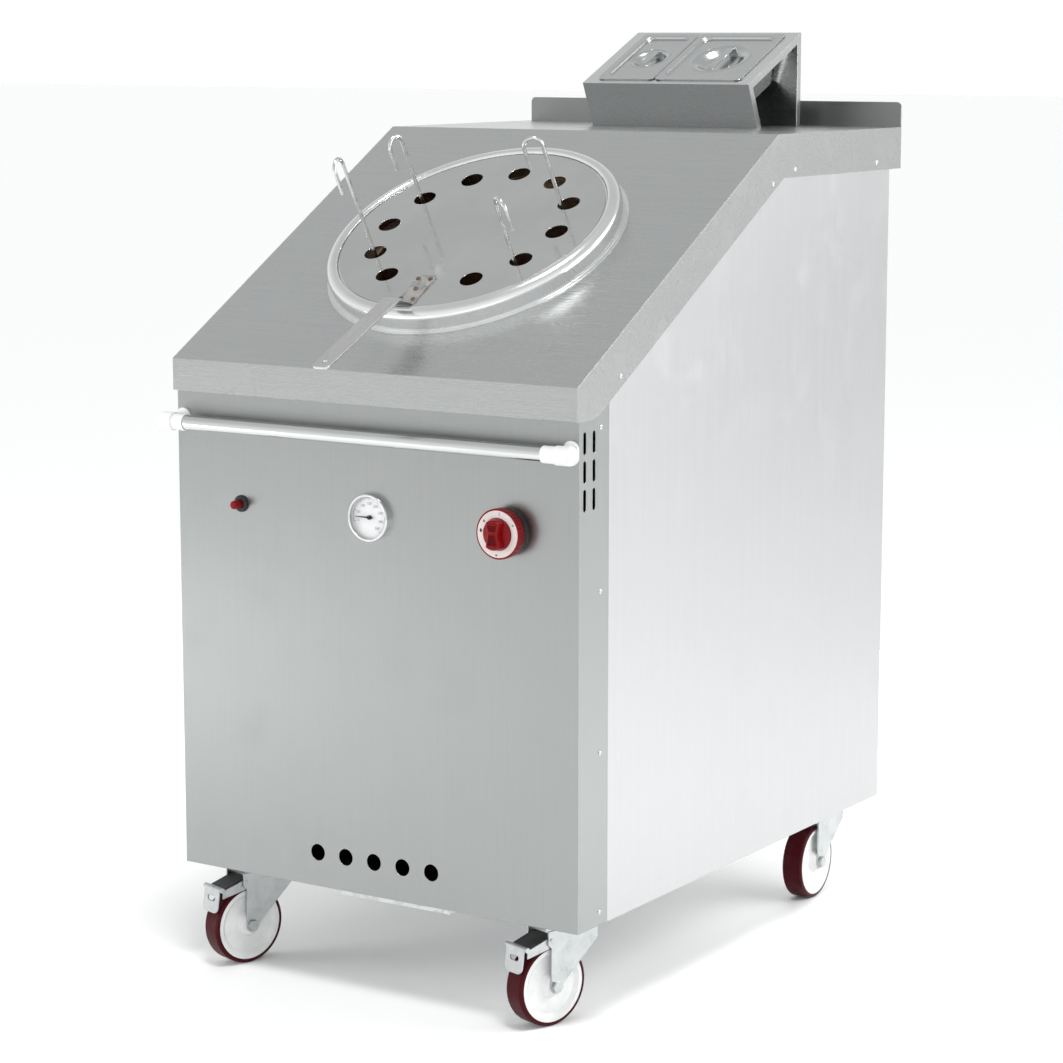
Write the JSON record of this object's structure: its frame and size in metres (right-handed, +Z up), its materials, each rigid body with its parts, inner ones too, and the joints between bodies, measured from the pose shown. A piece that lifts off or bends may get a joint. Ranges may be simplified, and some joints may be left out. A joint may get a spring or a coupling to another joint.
{
  "type": "clay tandoor oven",
  "caption": "Gas-fired clay tandoor oven in a stainless steel cabinet on castors, with a sloping hood, perforated round lid, skewers and a stand with lidded food pans.",
  "frame": {"origin": "on the floor, under the centre of the whole oven's bounding box", "axes": "+Z up, +X to the right of someone who faces the controls, +Y to the back; the lid's handle points to -Y"},
  "size_m": [0.744, 1.1258, 1.4465],
  "materials": {
    "stainless_steel": "brushed stainless steel",
    "polished_steel": "polished stainless steel",
    "galvanised_steel": "galvanised sheet",
    "zinc_plated_steel": "bright zinc plate",
    "black_steel": "darkened steel",
    "fired_clay": "unglazed fired clay",
    "mineral_wool": "loose mineral wool",
    "cast_iron": "raw casting",
    "brass": "machined brass",
    "pipe_steel": "drawn tube",
    "ceramic": "glazed ceramic",
    "black_plastic": "moulded black plastic",
    "red_plastic": "moulded red plastic",
    "white_plastic": "white plastic",
    "polyurethane": "dark red polyurethane",
    "clear_glass": "clear glass"
  },
  "bodies": {
    "cabinet": {"hood_top": "stainless_steel", "hood_back_plate": "stainless_steel", "front_panel": "stainless_steel", "side_panel_left": "stainless_steel", "side_panel_right": "stainless_steel", "back_panel": "stainless_steel", "base_frame": "stainless_steel", "mouth_collar": "polished_steel", "clay_pot": "fired_clay", "insulation_fill": "mineral_wool", "insulation_jacket": "galvanised_steel", "oven_cradle": "galvanised_steel", "burner": "cast_iron", "spark_electrode": "ceramic", "gas_valve": "brass", "gas_pipes": "pipe_steel", "gas_inlet": "brass", "knob_bezel": "black_plastic", "igniter_body": "black_plastic", "thermometer_case": "polished_steel", "thermometer_dial": "white_plastic", "thermometer_glass": "clear_glass", "thermometer_probe": "stainless_steel", "rail_tube": "stainless_steel", "rail_brackets": "white_plastic", "tray_runners": "galvanised_steel", "pan_stand": "stainless_steel", "castor_plates": "zinc_plated_steel", "cabinet_screws": "polished_steel"},
    "lid": {"lid_plate": "polished_steel", "lid_handle": "stainless_steel", "handle_rivets": "black_steel"},
    "skewer_1": {"skewer_1": "stainless_steel"},
    "skewer_2": {"skewer_2": "stainless_steel"},
    "skewer_3": {"skewer_3": "stainless_steel"},
    "skewer_4": {"skewer_4": "stainless_steel"},
    "knob_slider": {"valve_spring_washer": "stainless_steel"},
    "knob": {"gas_knob": "red_plastic", "valve_stem": "stainless_steel"},
    "igniter_button": {"igniter_button": "red_plastic"},
    "pointer": {"thermometer_pointer": "black_steel"},
    "ash_tray": {"drip_tray": "galvanised_steel"},
    "pan_small": {"pan_small": "polished_steel"},
    "pan_large": {"pan_large": "polished_steel"},
    "pan_lid_small": {"pan_lid_small": "polished_steel"},
    "pan_lid_large": {"pan_lid_large": "polished_steel"},
    "fork_fl": {"castor_fl_fork": "zinc_plated_steel"},
    "wheel_fl": {"castor_fl_hub": "white_plastic", "castor_fl_tread": "polyurethane"},
    "fork_fr": {"castor_fr_fork": "zinc_plated_steel"},
    "wheel_fr": {"castor_fr_hub": "white_plastic", "castor_fr_tread": "polyurethane"},
    "fork_rl": {"castor_rl_fork": "zinc_plated_steel"},
    "wheel_rl": {"castor_rl_hub": "white_plastic", "castor_rl_tread": "polyurethane"},
    "fork_rr": {"castor_rr_fork": "zinc_plated_steel"},
    "wheel_rr": {"castor_rr_hub": "white_plastic", "castor_rr_tread": "polyurethane"},
    "brake_fl": {"castor_fl_brake": "zinc_plated_steel", "castor_fl_pedal": "black_plastic"},
    "brake_fr": {"castor_fr_brake": "zinc_plated_steel", "castor_fr_pedal": "black_plastic"}
  },
  "joints": [
    {"name": "lid_lift", "type": "slide", "parent": "cabinet", "child": "lid", "axis": [0, -0.4985, 0.8669], "range_m": [0, 0.25]},
    {"name": "skewer_1_lift", "type": "slide", "parent": "lid", "child": "skewer_1", "axis": [0, -0.4985, 0.8669], "range_m": [0, 0.35]},
    {"name": "skewer_2_lift", "type": "slide", "parent": "lid", "child": "skewer_2", "axis": [0, -0.4985, 0.8669], "range_m": [0, 0.35]},
    {"name": "skewer_3_lift", "type": "slide", "parent": "lid", "child": "skewer_3", "axis": [0, -0.4985, 0.8669], "range_m": [0, 0.35]},
    {"name": "skewer_4_lift", "type": "slide", "parent": "lid", "child": "skewer_4", "axis": [0, -0.4985, 0.8669], "range_m": [0, 0.35]},
    {"name": "knob_push", "type": "slide", "parent": "cabinet", "child": "knob_slider", "axis": [0, 1, 0], "range_m": [0, 0.004], "stiffness_N_per_m": 400, "springref_m": -0.002},
    {"name": "knob_turn", "type": "hinge", "parent": "knob_slider", "child": "knob", "pos_m": [0.242, -0.44059, 0.74], "axis": [0, -1, 0], "range_deg": [0, 180]},
    {"name": "igniter_push", "type": "slide", "parent": "cabinet", "child": "igniter_button", "axis": [0, 1, 0], "range_m": [0, 0.006], "stiffness_N_per_m": 300, "springref_m": -0.002},
    {"name": "pointer_turn", "type": "hinge", "parent": "cabinet", "child": "pointer", "pos_m": [0, -0.44059, 0.74], "axis": [0, 1, 0], "range_deg": [-45, 225], "stiffness_Nm_per_rad": 0.0005},
    {"name": "tray_slide", "type": "slide", "parent": "cabinet", "child": "ash_tray", "axis": [0, -1, 0], "range_m": [0, 0.35]},
    {"name": "pan_small_lift", "type": "slide", "parent": "cabinet", "child": "pan_small", "axis": [0, -0.4179, 0.9085], "range_m": [0, 0.12]},
    {"name": "pan_large_lift", "type": "slide", "parent": "cabinet", "child": "pan_large", "axis": [0, -0.4179, 0.9085], "range_m": [0, 0.12]},
    {"name": "pan_lid_small_lift", "type": "slide", "parent": "pan_small", "child": "pan_lid_small", "axis": [0, -0.4179, 0.9085], "range_m": [0, 0.08]},
    {"name": "pan_lid_large_lift", "type": "slide", "parent": "pan_large", "child": "pan_lid_large", "axis": [0, -0.4179, 0.9085], "range_m": [0, 0.08]},
    {"name": "swivel_fl", "type": "hinge", "parent": "cabinet", "child": "fork_fl", "pos_m": [-0.275, -0.36059, 0.148], "axis": [0, 0, 1], "continuous": true},
    {"name": "roll_fl", "type": "hinge", "parent": "fork_fl", "child": "wheel_fl", "pos_m": [-0.28643, -0.39683, 0.0625], "axis": [0.9537, -0.3007, 0], "continuous": true},
    {"name": "brake_fl_press", "type": "hinge", "parent": "fork_fl", "child": "brake_fl", "pos_m": [-0.28913, -0.40541, 0.134], "axis": [0.9537, -0.3007, 0], "range_deg": [-8, 3]},
    {"name": "swivel_fr", "type": "hinge", "parent": "cabinet", "child": "fork_fr", "pos_m": [0.291, -0.36059, 0.148], "axis": [0, 0, 1], "continuous": true},
    {"name": "roll_fr", "type": "hinge", "parent": "fork_fr", "child": "wheel_fr", "pos_m": [0.27957, -0.39683, 0.0625], "axis": [0.9537, -0.3007, 0], "continuous": true},
    {"name": "brake_fr_press", "type": "hinge", "parent": "fork_fr", "child": "brake_fr", "pos_m": [0.27687, -0.40541, 0.134], "axis": [0.9537, -0.3007, 0], "range_deg": [-8, 3]},
    {"name": "swivel_rl", "type": "hinge", "parent": "cabinet", "child": "fork_rl", "pos_m": [-0.275, 0.44441, 0.148], "axis": [0, 0, 1], "continuous": true},
    {"name": "roll_rl", "type": "hinge", "parent": "fork_rl", "child": "wheel_rl", "pos_m": [-0.27367, 0.40643, 0.0625], "axis": [0.9994, 0.0349, 0], "continuous": true},
    {"name": "swivel_rr", "type": "hinge", "parent": "cabinet", "child": "fork_rr", "pos_m": [0.291, 0.44441, 0.148], "axis": [0, 0, 1], "continuous": true},
    {"name": "roll_rr", "type": "hinge", "parent": "fork_rr", "child": "wheel_rr", "pos_m": [0.29233, 0.40643, 0.0625], "axis": [0.9994, 0.0349, 0], "continuous": true}
  ]
}
